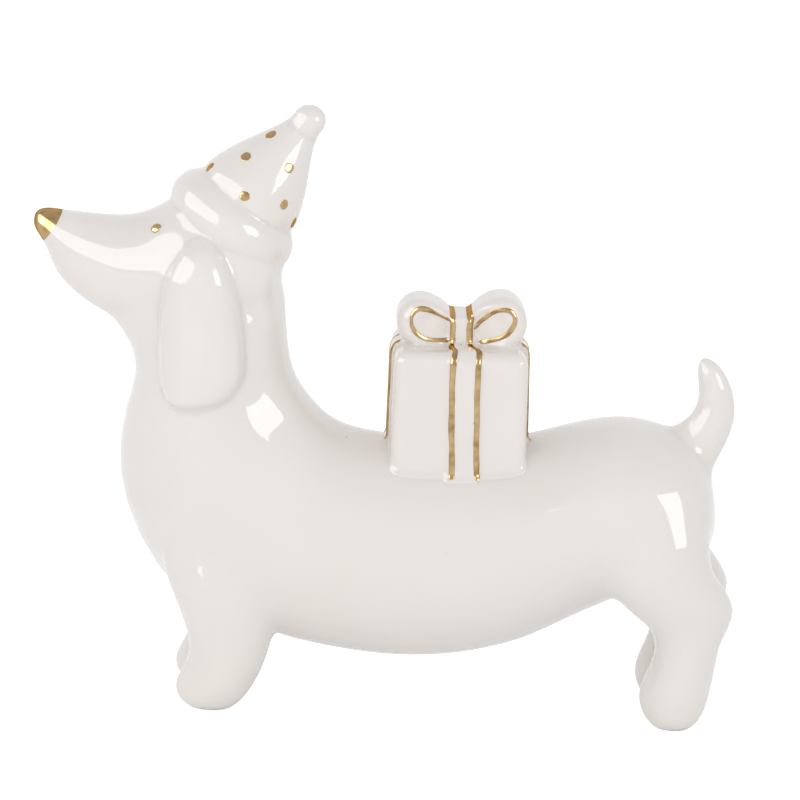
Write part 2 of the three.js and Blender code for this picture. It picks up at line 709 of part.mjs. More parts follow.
function loopLine(form, face) {
  const outer = LOOP.rim + OUTLINE.inset;
  const inner = outer + OUTLINE.width;
  const shape = new THREE.Shape(loopOutline(form, outer, OUTLINE.outerInset));
  shape.holes.push(new THREE.Path(loopOutline(form, inner, OUTLINE.outerInset)));
  const ring = new THREE.ExtrudeGeometry(shape, { depth: GOLD, bevelEnabled: false });
  const off = LOOP.depth / 2 + SEAT_GAP;
  ring.translate(0, 0, face < 0 ? off : -off - GOLD);
  return solid(placedAsLoop(ring, form)).subtract(knotRoom());
}

// Scene

const porcelain = () => new THREE.MeshStandardMaterial({ color: 0xefebe7, roughness: 0.12, metalness: 0 });
const gold = () => new THREE.MeshStandardMaterial({ color: 0xb08a45, roughness: 0.25, metalness: 1 });

function piece(name, shape, material) {
  const geometry = shape.isBufferGeometry ? bare(shape) : geometryOf(shape);
  const mesh = new THREE.Mesh(geometry, material());
  mesh.name = name;
  return mesh;
}

const figurine = new THREE.Group();
figurine.add(piece('body_shell', shell, porcelain));
figurine.add(piece('nose_gilding', nose, gold));
figurine.add(piece('ear_left', ear(-1), porcelain));
figurine.add(piece('ear_right', ear(1), porcelain));
figurine.add(piece('tail', tail(), porcelain));
figurine.add(piece('eye_gilding_left', eye(-1), gold));
figurine.add(piece('eye_gilding_right', eye(1), gold));

const hat = new THREE.Group();
hat.applyMatrix4(hatMatrix);
hat.add(piece('hat_brim', brim(), porcelain));
hat.add(piece('party_hat', cone(), porcelain));
hat.add(piece('hat_pompom', pompom(), porcelain));
figurine.add(hat);

DOTS.forEach((place, i) => hat.add(dot(`hat_dot_${String(i + 1).padStart(2, '0')}`, place)));

const gift = new THREE.Group();
gift.applyMatrix4(giftMatrix);
gift.add(piece('gift_box', giftBox(), porcelain));
for (const side of sides) {
  gift.add(piece(`ribbon_${side.name}`, ribbon(side), porcelain));
  gift.add(piece(`ribbon_gold_${side.name}_1`, ribbonLine(side, -1), gold));
  gift.add(piece(`ribbon_gold_${side.name}_2`, ribbonLine(side, 1), gold));
}
gift.add(piece('bow_knot', knot(), porcelain));
for (const [name, form] of Object.entries(LOOPS)) {
  gift.add(piece(`bow_loop_${name}`, loop(form), porcelain));
  gift.add(piece(`knot_gold_${name}`, knotLine(form.hand), gold));
  gift.add(piece(`loop_gold_${name}_left`, loopLine(form, -form.hand), gold));
  gift.add(piece(`loop_gold_${name}_right`, loopLine(form, form.hand), gold));
}
figurine.add(gift);

// The origin is under the middle of the whole.
const extent = new THREE.Box3().setFromObject(figurine);
figurine.position.x = -(extent.min.x + extent.max.x) / 2;

export default figurine;
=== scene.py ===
import math

import bmesh
import bpy
import numpy as np
from mathutils import Matrix, Vector, noise
from mathutils.bvhtree import BVHTree


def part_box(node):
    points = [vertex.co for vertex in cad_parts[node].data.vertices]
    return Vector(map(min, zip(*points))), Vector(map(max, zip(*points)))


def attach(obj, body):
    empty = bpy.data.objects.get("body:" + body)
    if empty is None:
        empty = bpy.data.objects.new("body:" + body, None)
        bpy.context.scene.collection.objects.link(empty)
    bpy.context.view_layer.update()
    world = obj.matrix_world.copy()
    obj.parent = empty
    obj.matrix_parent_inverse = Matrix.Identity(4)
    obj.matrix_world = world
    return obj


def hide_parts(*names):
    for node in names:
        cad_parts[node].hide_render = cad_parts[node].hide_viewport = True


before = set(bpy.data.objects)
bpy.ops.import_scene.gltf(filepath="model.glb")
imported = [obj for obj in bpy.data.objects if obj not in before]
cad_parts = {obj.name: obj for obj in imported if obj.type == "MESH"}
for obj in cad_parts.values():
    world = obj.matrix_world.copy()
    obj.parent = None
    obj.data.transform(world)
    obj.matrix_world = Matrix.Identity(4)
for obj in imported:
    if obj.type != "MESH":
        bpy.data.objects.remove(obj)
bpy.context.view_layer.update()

MM = 0.001

# The camera: a long lens on the dog's left side, a little ahead of it and above it, as the photograph was
# taken. The picture is turned a few degrees clockwise, so the camera is rolled the other way.
PHOTO_PIXELS = 800
PIXEL = 0.26706 * MM
CAMERA_AIM = Vector((4.15, 0, 83.65)) * MM
CAMERA_DISTANCE = 2.5
CAMERA_AHEAD = math.radians(2)
CAMERA_ABOVE = math.radians(14)
CAMERA_ROLL = math.radians(3.05)

lens_right = Vector((math.cos(CAMERA_AHEAD), -math.sin(CAMERA_AHEAD), 0))
lens_back = Vector((-math.sin(CAMERA_AHEAD) * math.cos(CAMERA_ABOVE),
                    -math.cos(CAMERA_AHEAD) * math.cos(CAMERA_ABOVE),
                    math.sin(CAMERA_ABOVE)))
lens_up = lens_back.cross(lens_right)
rolled_right = lens_right * math.cos(CAMERA_ROLL) + lens_up * math.sin(CAMERA_ROLL)
rolled_up = lens_up * math.cos(CAMERA_ROLL) - lens_right * math.sin(CAMERA_ROLL)
camera_data = bpy.data.cameras.new("camera")
camera_data.sensor_width = 36
camera_data.lens = camera_data.sensor_width * CAMERA_DISTANCE / (PHOTO_PIXELS * PIXEL)
camera_data.clip_start = 0.05
camera_data.clip_end = 50
camera = bpy.data.objects.new("camera", camera_data)
facing = Matrix((rolled_right, rolled_up, lens_back)).transposed().to_4x4()
camera.matrix_world = Matrix.Translation(CAMERA_AIM + lens_back * CAMERA_DISTANCE) @ facing
bpy.context.scene.collection.objects.link(camera)
bpy.context.scene.camera = camera
bpy.context.scene.view_settings.view_transform = "Standard"


# The studio: a white sheet of paper in a bright room that is darker overhead. The glaze mirrors a wide
# window ahead of the dog and a small softbox behind it. Two soft glows, from the window and from the
# front, light the clay under the glaze and don't show in it.
FLOOR_RADIUS = 4
PAPER_COLOUR = (0.93, 0.93, 0.93, 1)
# How much the paper shines by itself, as the camera sees it and as the glaze mirrors it.
PAPER_LIFT = 0.6
PAPER_GLEAM = 0.2
# How bright the room is, and between which heights of the sky the one level passes into the other.
ROOM_HORIZON = 1
ROOM_CEILING = 0.66
CEILING_FROM, CEILING_TO = 0.4, 0.9
LAMP_DISTANCE = 1.4
WINDOW = {"turn": -62, "rise": 27, "size": (2.2, 1.1), "radiance": 3.4}
WINDOW_GLOW = 0.78
TAIL_SOFTBOX = {"turn": 53, "rise": 22, "size": (0.62, 0.56), "radiance": 5}
FRONT_GLOW = {"turn": -12, "rise": 5, "size": (1.2, 1), "radiance": 1.1}

world = bpy.data.worlds.new("room")
bpy.context.scene.world = world
world.use_nodes = True
nodes, links = world.node_tree.nodes, world.node_tree.links
background = nodes["Background"]
direction = nodes.new("ShaderNodeTexCoord")
axes = nodes.new("ShaderNodeSeparateXYZ")
links.new(direction.outputs["Generated"], axes.inputs[0])
level = nodes.new("ShaderNodeMapRange")
level.interpolation_type = "SMOOTHSTEP"
level.inputs["From Min"].default_value = CEILING_FROM
level.inputs["From Max"].default_value = CEILING_TO
level.inputs["To Min"].default_value = ROOM_HORIZON
level.inputs["To Max"].default_value = ROOM_CEILING
links.new(axes.outputs["Z"], level.inputs["Value"])
links.new(level.outputs["Result"], background.inputs["Strength"])
background.inputs["Color"].default_value = (1, 1, 1, 1)


def softbox(name, turn, rise, size, radiance):
    """A square lamp seen from the dog at a turn from the camera's side to the tail, and a rise."""
    lamp = bpy.data.lights.new(name, "AREA")
    lamp.shape = "RECTANGLE"
    lamp.size, lamp.size_y = size
    lamp.energy = radiance * math.pi * size[0] * size[1]
    turn, rise = math.radians(turn), math.radians(rise)
    away = Vector((math.sin(turn) * math.cos(rise), -math.cos(turn) * math.cos(rise), math.sin(rise)))
    holder = bpy.data.objects.new(name, lamp)
    faced = away.to_track_quat("Z", "Y").to_matrix().to_4x4()
    holder.matrix_world = Matrix.Translation(CAMERA_AIM + away * LAMP_DISTANCE) @ faced
    bpy.context.scene.collection.objects.link(holder)
    return holder


softbox("window", **WINDOW).visible_diffuse = False
softbox("window_glow", **(WINDOW | {"radiance": WINDOW_GLOW})).visible_glossy = False
softbox("tail_softbox", **TAIL_SOFTBOX).visible_diffuse = False
softbox("front_glow", **FRONT_GLOW).visible_glossy = False

paper = bpy.data.materials.new("white_paper")
paper.use_nodes = True
nodes, links = paper.node_tree.nodes, paper.node_tree.links
nodes.clear()
sheet = nodes.new("ShaderNodeBsdfDiffuse")
sheet.inputs["Color"].default_value = PAPER_COLOUR
lift = nodes.new("ShaderNodeEmission")
ray = nodes.new("ShaderNodeLightPath")
gleam = nodes.new("ShaderNodeMath")
gleam.operation = "MULTIPLY"
gleam.inputs[1].default_value = PAPER_GLEAM
links.new(ray.outputs["Is Glossy Ray"], gleam.inputs[0])
seen = nodes.new("ShaderNodeMath")
seen.operation = "MAXIMUM"
links.new(ray.outputs["Is Camera Ray"], seen.inputs[0])
links.new(ray.outputs["Is Transmission Ray"], seen.inputs[1])
amount = nodes.new("ShaderNodeMath")
amount.operation = "MULTIPLY_ADD"
amount.inputs[1].default_value = PAPER_LIFT
links.new(seen.outputs[0], amount.inputs[0])
links.new(gleam.outputs[0], amount.inputs[2])
links.new(amount.outputs[0], lift.inputs["Strength"])
both = nodes.new("ShaderNodeAddShader")
links.new(sheet.outputs[0], both.inputs[0])
links.new(lift.outputs[0], both.inputs[1])
links.new(both.outputs[0], nodes.new("ShaderNodeOutputMaterial").inputs["Surface"])

floor_shape = bmesh.new()
bmesh.ops.create_circle(floor_shape, cap_ends=True, segments=96, radius=FLOOR_RADIUS)
floor_mesh = bpy.data.meshes.new("floor")
floor_shape.to_mesh(floor_mesh)
floor_shape.free()
floor_mesh.materials.append(paper)
floor = bpy.data.objects.new("floor", floor_mesh)
bpy.context.scene.collection.objects.link(floor)


# The body: one hollow slip casting of trunk, neck, head and legs, sponged smooth while raw, so that legs,
# jaw and rump run into each other in soft hollows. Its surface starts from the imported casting, and what is
# luted to it is joined to the same clay before the glaze melts over all of it.
BODY_GRAIN = 0.8 * MM
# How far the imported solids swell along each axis, which closes the gaps between them.
SLIP = Vector((0.3, 0.25, 0.25)) * MM
BODY_SLIP = Vector((0.35, 0.1, 0.35)) * MM
# How long and how strongly the surface is evened out, on the body and, inside a box, on the broad trunk.
EVENING_PASSES = 80
BODY_GIVE = 0.35
TRUNK_GIVE = 0.9
TRUNK_BOX = (np.array((-22, -40, 36)) * MM, np.array((90, 40, 92)) * MM)
PORCELAIN_TONES = ((0.3, (0.812, 0.766, 0.731)), (0.7, (0.822, 0.785, 0.756)))
SPECK_SCALE = 70
SPECK_TONES = ((0.012, (0.62, 0.54, 0.47)), (0.03, (1, 1, 1)))


def shader(name):
    """A new material with its nodes and links."""
    material = bpy.data.materials.new(name)
    material.use_nodes = True
    return material, material.node_tree.nodes, material.node_tree.links


def hand_finish_group():
    """Slow drifts and fine dimples over a surface, as sponging, dipping and firing leave them."""
    group = bpy.data.node_groups.new("hand_finish", "ShaderNodeTree")
    group.interface.new_socket("Place", in_out="INPUT", socket_type="NodeSocketVector")
    group.interface.new_socket("Drift Scale", in_out="INPUT", socket_type="NodeSocketFloat")
    group.interface.new_socket("Dimple Scale", in_out="INPUT", socket_type="NodeSocketFloat")
    group.interface.new_socket("Drift", in_out="OUTPUT", socket_type="NodeSocketFloat")
    group.interface.new_socket("Dimples", in_out="OUTPUT", socket_type="NodeSocketFloat")
    given = group.nodes.new("NodeGroupInput")
    result = group.nodes.new("NodeGroupOutput")
    for scale, detail, out in (("Drift Scale", 2, "Drift"), ("Dimple Scale", 1, "Dimples")):
        pattern = group.nodes.new("ShaderNodeTexNoise")
        pattern.inputs["Detail"].default_value = detail
        group.links.new(given.outputs["Place"], pattern.inputs["Vector"])
        group.links.new(given.outputs[scale], pattern.inputs["Scale"])
        group.links.new(pattern.outputs["Fac"], result.inputs[out])
    return group


hand_finish = hand_finish_group()


def finish(nodes, links, drift_scale, dimple_scale):
    """Puts the hand finish on the object's own coordinates, and returns these and the finish."""
    place = nodes.new("ShaderNodeTexCoord")
    hand = nodes.new("ShaderNodeGroup")
    hand.node_tree = hand_finish
    hand.inputs["Drift Scale"].default_value = drift_scale
    hand.inputs["Dimple Scale"].default_value = dimple_scale
    links.new(place.outputs["Object"], hand.inputs["Place"])
    return place, hand


def ramp(nodes, links, value, stops):
    """Turns a value into a colour by stops of a position and a colour."""
    colours = nodes.new("ShaderNodeValToRGB")
    elements = colours.color_ramp.elements
    while len(elements) < len(stops):
        elements.new(0.5)
    for element, (position, colour) in zip(elements, stops):
        element.position = position
        element.color = (*colour, 1)
    links.new(value, colours.inputs["Fac"])
    return colours.outputs["Color"]


def porcelain_material():
    """White body under a clear glaze, with a faint warm drift, a few iron specks and a soft orange peel."""
    material, nodes, links = shader("glazed_porcelain")
    surface = nodes["Principled BSDF"]
    place, hand = finish(nodes, links, drift_scale=28, dimple_scale=260)
    body = ramp(nodes, links, hand.outputs["Drift"], PORCELAIN_TONES)
    cells = nodes.new("ShaderNodeTexVoronoi")
    cells.inputs["Scale"].default_value = SPECK_SCALE
    links.new(place.outputs["Object"], cells.inputs["Vector"])
    specks = ramp(nodes, links, cells.outputs["Distance"], SPECK_TONES)
    mixed = nodes.new("ShaderNodeMix")
    mixed.data_type = "RGBA"
    mixed.blend_type = "MULTIPLY"
    mixed.inputs["Factor"].default_value = 1
    links.new(body, mixed.inputs["A"])
    links.new(specks, mixed.inputs["B"])
    links.new(mixed.outputs["Result"], surface.inputs["Base Color"])
    surface.inputs["Roughness"].default_value = 0.04
    surface.inputs["IOR"].default_value = 1.52
    surface.inputs["Subsurface Weight"].default_value = 0.15
    surface.inputs["Subsurface Radius"].default_value = (1, 0.9, 0.8)
    surface.inputs["Subsurface Scale"].default_value = 2.5 * MM
    bump = nodes.new("ShaderNodeBump")
    bump.inputs["Strength"].default_value = 0.3
    bump.inputs["Distance"].default_value = 0.05 * MM
    links.new(hand.outputs["Dimples"], bump.inputs["Height"])
    links.new(bump.outputs["Normal"], surface.inputs["Normal"])
    return material


porcelain = porcelain_material()


def settled(name, shape, material, slot, *replaced):
    """Makes a piece of a shape, which is used up, attaches it to the root and hides the nodes it stands for.
    """
    mesh = bpy.data.meshes.new(name)
    shape.to_mesh(mesh)
    shape.free()
    for polygon in mesh.polygons:
        polygon.use_smooth = True
    mesh.materials.append(material)
    thing = bpy.data.objects.new(name, mesh)
    bpy.context.scene.collection.objects.link(thing)
    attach(thing, "root")
    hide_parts(*replaced)
    return thing


# Points nearer to each other than this are one.
WELD = 0.001 * MM


def add_copy(clay, node, swell):
    """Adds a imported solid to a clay, swollen along its normals by a distance for each axis."""
    part = bmesh.new()
    part.from_mesh(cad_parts[node].data)
    bmesh.ops.remove_doubles(part, verts=part.verts, dist=WELD)
    part.normal_update()
    for vert in part.verts:
        vert.co += Vector(a * b for a, b in zip(vert.normal, swell))
    mesh = bpy.data.meshes.new(node + "_copy")
    part.to_mesh(mesh)
    part.free()
    clay.from_mesh(mesh)
    bpy.data.meshes.remove(mesh)


clay = bmesh.new()
add_copy(clay, "body_shell", BODY_SLIP)
add_copy(clay, "nose_gilding", Vector())

# The ears: two thick pressed flaps, luted to the sides of the head under the hat, whose edges were wiped
# round with a damp brush.
EAR_GIVE = 0.11
add_copy(clay, "ear_left", SLIP)
add_copy(clay, "ear_right", SLIP)

# The tail: a solid casting that tapers to a blunt tip. It is luted to the rump, turned up, and rubbed
# smooth at its foot with slip.
add_copy(clay, "tail", SLIP)

# Where the sponge took a little off the raw clay or left a little on. Each touch has its middle, how far it
# reaches along each axis, and its push there, in millimetres.
TOUCHES = [
    ((-93.2, 0, 121), (6.5, 6.5, 6.5), (0.8, 0, 0.7)),  # chin
    ((89, 0, 48), (13, 13, 13), (0.7, 0, 0)),  # rump
    ((85.2, 0, 98.6), (5, 5, 5), (-0.5, 0, 0.6)),  # tip of the tail
]
for hand in (-1, 1):
    TOUCHES += [
        ((-33, hand * 18, 82.9), (17, 17, 8), (0, hand * -0.5, 0)),  # top of the shoulder
        ((-22.5, hand * 11, 82), (15, 15, 15), (0.5, hand * 1.5, 0.2)),  # side of the nape
        ((-24, hand * 20, 70.5), (15, 15, 10), (0, hand * 0.8, 0)),  # behind the shoulder
        ((-50.5, hand * 14, 8), (7.5, 7.5, 7.5), (-1.6, 0, 0)),  # front paw
        ((92, hand * 13, 39), (9, 9, 9), (0.9, 0, 0)),  # hock
        ((76, hand * 14, 18), (22, 22, 22), (0.5, 0, 0)),  # hind shank
    ]
for place, reach, push in TOUCHES:
    for vert in clay.verts:
        share = 1 - sum(((at / MM - middle) / far) ** 2 for at, middle, far in zip(vert.co, place, reach))
        if share > 0:
            vert.co += Vector(push) * MM * share * share

# The party hat: a hollow cone over a fat rolled brim, with a ball on its tip, all of white clay. It is luted
# slantwise to the back of the head. Heights run up its axis from its foot.
HAT_FOOT = Vector((-44.95, 0, 127.4)) * MM
HAT_TILT = math.radians(33)
HAT_PLACE = Matrix.Translation(HAT_FOOT) @ Matrix.Rotation(HAT_TILT, 4, "Y")
HAT_SEGMENTS = 72
HAT_GIVE = 0.035
# How far the hat lies off its axis all over, and how much farther back at the height of the ball.
HAT_LEAN = (-0.25, 0.85)
# Radius and height of the brim and of the cone, from the foot up.
BRIM = ((15.4, -1.5), (17.6, 0.4), (18.4, 3.2), (18.1, 6.0), (16.9, 8.4), (15.2, 10.1), (13.7, 10.9))
CONE = ((14.4, 11.6), (14.3, 13.2), (13.7, 15.4), (12.6, 18.4), (11.4, 21.2), (9.9, 24.2), (8.6, 26.6),
        (7.3, 29.0), (5.9, 31.8), (4.9, 34.2))
BALL_HEIGHT, BALL_RADIUS = 37.8, 4.5
# Angles up the ball from its lowest point, in degrees. The tip of the cone covers what lies below them.
BALL_ANGLES = range(72, 180, 12)


def turned(profile, segments):
    """Turns a profile of radius and height, in millimetres, about the upright axis."""
    shape = bmesh.new()
    verts = [shape.verts.new((radius * MM, 0, height * MM)) for radius, height in profile]
    edges = [shape.edges.new(pair) for pair in zip(verts, verts[1:])]
    bmesh.ops.spin(shape, geom=verts + edges, cent=(0, 0, 0), axis=(0, 0, 1), angle=math.tau,
                   steps=segments, use_merge=True)
    bmesh.ops.remove_doubles(shape, verts=shape.verts, dist=WELD)
    bmesh.ops.recalc_face_normals(shape, faces=shape.faces)
    return shape


def add_shape(clay, shape, place):
    """Adds a shape, which is used up, to a clay at a place."""
    bmesh.ops.transform(shape, matrix=place, verts=shape.verts)
    mesh = bpy.data.meshes.new("luted")
    shape.to_mesh(mesh)
    shape.free()
    clay.from_mesh(mesh)
    bpy.data.meshes.remove(mesh)


ball = [(BALL_RADIUS * math.sin(math.radians(a)), BALL_HEIGHT - BALL_RADIUS * math.cos(math.radians(a)))
        for a in BALL_ANGLES]
hat_profile = [(0, BRIM[0][1]), *BRIM, *CONE, *ball, (0, BALL_HEIGHT + BALL_RADIUS)]
hat = turned(hat_profile, HAT_SEGMENTS)
for vert in hat.verts:
    vert.co.x += (HAT_LEAN[0] + HAT_LEAN[1] * (vert.co.z / (BALL_HEIGHT * MM)) ** 2) * MM
add_shape(clay, hat, HAT_PLACE)


# The glaze: clear glass that melts over the body and what is luted to it, and rounds every seam. It leaves
# one skin, from which each piece keeps its own part, turned in at the seams and closed at the back.
SEAM_DEPTH = 1.5 * MM
# How near to a crisp seam the skin is evened out less, and how little.
CRISP_SEAMS = ("ear_left", "ear_right", "hat_brim")
SEAM_REACH = 2.2 * MM
SEAM_GIVE = 0.05
# How far about a node's box its distance is looked for.
REACH = 4 * MM
# How often the strength of the evening is blurred, so that it has no steps.
GIVE_BLURS = 20


def even_out(mesh, passes, give):
    """Evens out facets and creases, and gives back what the evening takes off round forms."""
    count = len(mesh.vertices)
    place = np.empty(count * 3)
    mesh.vertices.foreach_get("co", place)
    place = place.reshape(-1, 3)
    edge = np.empty(len(mesh.edges) * 2, np.int64)
    mesh.edges.foreach_get("vertices", edge)
    first, second = edge.reshape(-1, 2).T
    neighbours = np.bincount(edge, minlength=count)

    def mean(values):
        total = np.bincount(first, values[second], count) + np.bincount(second, values[first], count)
        return total / neighbours

    for _ in range(GIVE_BLURS):
        give = (give + mean(give)) / 2

    def spread(values):
        for _ in range(passes):
            for axis in range(3):
                column = values[:, axis]
                values[:, axis] = column + give * (mean(column) - column)
        return values

    broad = spread(place.copy())
    place = broad + spread(place - broad)
    place[:, 2] = np.maximum(place[:, 2], 0)
    mesh.vertices.foreach_set("co", place.ravel())
    mesh.update()


def distances(points, trees):
    """How far each point lies from each tree, as far as it matters."""
    apart = np.full((len(trees), len(points)), np.inf)
    for number, (tree, low, high) in enumerate(trees):
        near = ((points > low - REACH) & (points < high + REACH)).all(axis=1)
        for i in np.nonzero(near)[0]:
            apart[number, i] = tree.find_nearest(points[i])[3]
    return apart


def node_tree(node):
    """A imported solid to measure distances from, with the low and the high corner of its box."""
    shape = bmesh.new()
    shape.from_mesh(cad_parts[node].data)
    tree = BVHTree.FromBMesh(shape)
    shape.free()
    low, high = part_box(node)
    return tree, np.array(low), np.array(high)


# Touches in the same form that are put on the finer skin.
PRESSES = []
for hand in (-1, 1):
    PRESSES += [
        ((-71.5, hand * 8, 107), (6, 8, 5), (0.3, hand * -0.9, 0)),  # below the corner of the jaw
        ((-67, hand * 12, 112.5), (6, 8, 5), (0.2, hand * -0.9, 0)),  # corner of the jaw
        ((78, hand * 19, 56), (18, 16, 11), (0, hand * 1.05, 0)),  # thigh
    ]


def glazed(clay, grain, passes, give, presses=()):
    """Melts a clay into one skin. give says, for each node, how far its surface evens out.

    Each face of the skin keeps the number of the node in give that it lies nearest to."""
    mesh = bpy.data.meshes.new("clay")
    clay.to_mesh(mesh)
    clay.free()
    carrier = bpy.data.objects.new("clay", mesh)
    bpy.context.scene.collection.objects.link(carrier)
    melt = carrier.modifiers.new("melt", "REMESH")
    melt.mode = "VOXEL"
    melt.voxel_size = grain
    graph = bpy.context.evaluated_depsgraph_get()
    skin = bpy.data.meshes.new_from_object(carrier.evaluated_get(graph), depsgraph=graph)
    bpy.data.objects.remove(carrier)
    trees = [node_tree(node) for node in give]
    points = np.empty(len(skin.vertices) * 3)
    skin.vertices.foreach_get("co", points)
    points = points.reshape(-1, 3)
    for place, reach, push in presses:
        share = np.maximum(0, 1 - (((points / MM - place) / reach) ** 2).sum(axis=1))
        points += np.outer(share * share, push) * MM
    skin.vertices.foreach_set("co", points.ravel())
    apart = distances(points, trees)
    nearest = apart.argmin(axis=0)
    eases = np.array(list(give.values()))[nearest]
    for number, node in enumerate(give):
        if node == "body_shell":
            low, high = TRUNK_BOX
            trunk = (nearest == number) & ((points > low) & (points < high)).all(axis=1)
            eases[trunk] = TRUNK_GIVE
        if node in CRISP_SEAMS:
            seam = (apart[number] < SEAM_REACH) & (nearest != number)
            eases[seam] = np.minimum(eases[seam], SEAM_GIVE)
    even_out(skin, passes, eases)
    shape = bmesh.new()
    shape.from_mesh(skin)
    normal = shape.verts.layers.float_vector.new("glaze_normal")
    shape.normal_update()
    for vert in shape.verts:
        vert[normal] = vert.normal
    keeper = shape.faces.layers.int.new("keeper")
    centres = np.array([face.calc_center_median() for face in shape.faces])
    for face, number in zip(shape.faces, distances(centres, trees).argmin(axis=0)):
        face[keeper] = number
    return shape


def keep_piece(skin, number):
    """The part of a skin that one piece keeps, turned in along its seams and closed at the back."""
    shape = skin.copy()
    keeper = shape.faces.layers.int["keeper"]
    normal = shape.verts.layers.float_vector["glaze_normal"]
    bmesh.ops.delete(shape, geom=[face for face in shape.faces if face[keeper] != number], context="FACES")
    rim = bmesh.ops.extrude_edge_only(shape, edges=[edge for edge in shape.edges if edge.is_boundary])
    for vert in rim["geom"]:
        if isinstance(vert, bmesh.types.BMVert):
            vert.co -= vert[normal] * SEAM_DEPTH
    bmesh.ops.holes_fill(shape, edges=[edge for edge in shape.edges if edge.is_boundary], sides=0)
    return shape


def skin_piece(name, skin, give, material, slot, node):
    """Settles the part of a skin that stands for a node, shaded as if the skin were still whole."""
    number = list(give).index(node)
    mesh = settled(name, keep_piece(skin, number), material, slot, node).data
    normals = np.empty(len(mesh.vertices) * 3)
    mesh.attributes["glaze_normal"].data.foreach_get("vector", normals)
    mesh.normals_split_custom_set_from_vertices(normals.reshape(-1, 3))
    for layer in ("glaze_normal", "keeper"):
        mesh.attributes.remove(mesh.attributes[layer])


DOG_GIVE = {
    "body_shell": BODY_GIVE, "nose_gilding": EAR_GIVE, "ear_left": EAR_GIVE, "ear_right": EAR_GIVE,
    "tail": BODY_GIVE, "hat_brim": HAT_GIVE, "party_hat": HAT_GIVE, "hat_pompom": HAT_GIVE,
}
dog_skin = glazed(clay, BODY_GRAIN, EVENING_PASSES, DOG_GIVE, PRESSES)

# The gilded nose: gold lustre brushed over the tip of the muzzle and burnt in. Its edge is painted across
# the muzzle in a slightly bent slanting line.
NOSE_EDGE = Vector((-90.8, 0, 126.6)) * MM
NOSE_SLANT = math.radians(33)
NOSE_BEND = 0.012 / MM
# How far behind the edge the skin is bent straight for the cut and then bent back.
MUZZLE_REACH = 12 * MM
GOLD_TONES = ((0.3, (0.34, 0.215, 0.095)), (0.5, (0.5, 0.345, 0.17)), (0.72, (0.6, 0.435, 0.24)))

nose_out = Vector((-math.cos(NOSE_SLANT), 0, math.sin(NOSE_SLANT)))
nose_up = Vector((math.sin(NOSE_SLANT), 0, math.cos(NOSE_SLANT)))


def bend(verts, amount):
    """Moves points along the muzzle by the square of their height over or under the nose's edge."""
    for vert in verts:
        up = (vert.co - NOSE_EDGE).dot(nose_up)
        vert.co += nose_out * amount * up * up


muzzle = [face for face in dog_skin.faces if face.calc_center_median().x < NOSE_EDGE.x + MUZZLE_REACH]
muzzle_verts = {vert for face in muzzle for vert in face.verts}
bend(muzzle_verts, -NOSE_BEND)
cut = bmesh.ops.bisect_plane(
    dog_skin, geom=list(muzzle_verts) + muzzle + list({edge for face in muzzle for edge in face.edges}),
    plane_co=NOSE_EDGE, plane_no=nose_out)
muzzle_verts |= {item for item in cut["geom_cut"] if isinstance(item, bmesh.types.BMVert)}
keeper = dog_skin.faces.layers.int["keeper"]
normal = dog_skin.verts.layers.float_vector["glaze_normal"]
dog_skin.faces.ensure_lookup_table()
nose_number, body_number = (list(DOG_GIVE).index(node) for node in ("nose_gilding", "body_shell"))
for face in {face for vert in muzzle_verts for face in vert.link_faces}:
    ahead = (face.calc_center_median() - NOSE_EDGE).dot(nose_out) > 0
    face[keeper] = nose_number if ahead else body_number
bend(muzzle_verts, NOSE_BEND)
dog_skin.normal_update()
for vert in muzzle_verts:
    vert[normal] = vert.normal


def gold_material():
    """Gold lustre, mirror-bright where the brush laid it on thick, and browner where it is thin."""
    material, nodes, links = shader("gold_lustre")
    surface = nodes["Principled BSDF"]
    _, hand = finish(nodes, links, drift_scale=330, dimple_scale=1400)
    colour = ramp(nodes, links, hand.outputs["Drift"], GOLD_TONES)
    links.new(colour, surface.inputs["Base Color"])
    surface.inputs["Metallic"].default_value = 1
    surface.inputs["Specular Tint"].default_value = (0.7, 0.5, 0.3, 1)
    wear = nodes.new("ShaderNodeMapRange")
    wear.inputs["From Min"].default_value = 0.3
    wear.inputs["From Max"].default_value = 0.7
    wear.inputs["To Min"].default_value = 0.2
    wear.inputs["To Max"].default_value = 0.09
    links.new(hand.outputs["Drift"], wear.inputs["Value"])
    links.new(wear.outputs["Result"], surface.inputs["Roughness"])
    bump = nodes.new("ShaderNodeBump")
    bump.inputs["Strength"].default_value = 0.5
    bump.inputs["Distance"].default_value = 0.04 * MM
    links.new(hand.outputs["Dimples"], bump.inputs["Height"])
    links.new(bump.outputs["Normal"], surface.inputs["Normal"])
    return material


gold = gold_material()

# The pieces that share this skin, parted along the lines where they were luted together.
skin_piece("body", dog_skin, DOG_GIVE, porcelain, "porcelain", "body_shell")
skin_piece("gilded_nose", dog_skin, DOG_GIVE, gold, "gold_lustre", "nose_gilding")
skin_piece("left_ear", dog_skin, DOG_GIVE, porcelain, "porcelain", "ear_left")
skin_piece("right_ear", dog_skin, DOG_GIVE, porcelain, "porcelain", "ear_right")
skin_piece("raised_tail", dog_skin, DOG_GIVE, porcelain, "porcelain", "tail")
skin_piece("rolled_brim", dog_skin, DOG_GIVE, porcelain, "porcelain", "hat_brim")
skin_piece("hat_cone", dog_skin, DOG_GIVE, porcelain, "porcelain", "party_hat")
skin_piece("hat_ball", dog_skin, DOG_GIVE, porcelain, "porcelain", "hat_pompom")
dog_tree = BVHTree.FromBMesh(dog_skin)
dog_skin.free()


# The eyes: small raised beads of clay, one on each side of the head. They are gilded with the same lustre
# as the nose.
EYE = {"x": -63.1, "z": 130, "radius": 1.45, "height": 0.5}
EYE_RAY_START = 40
# How high the film of gold stands at its edge, and how far its back lies in the glaze.
FILM = 0.02 * MM
FILM_BACK = 0.1 * MM
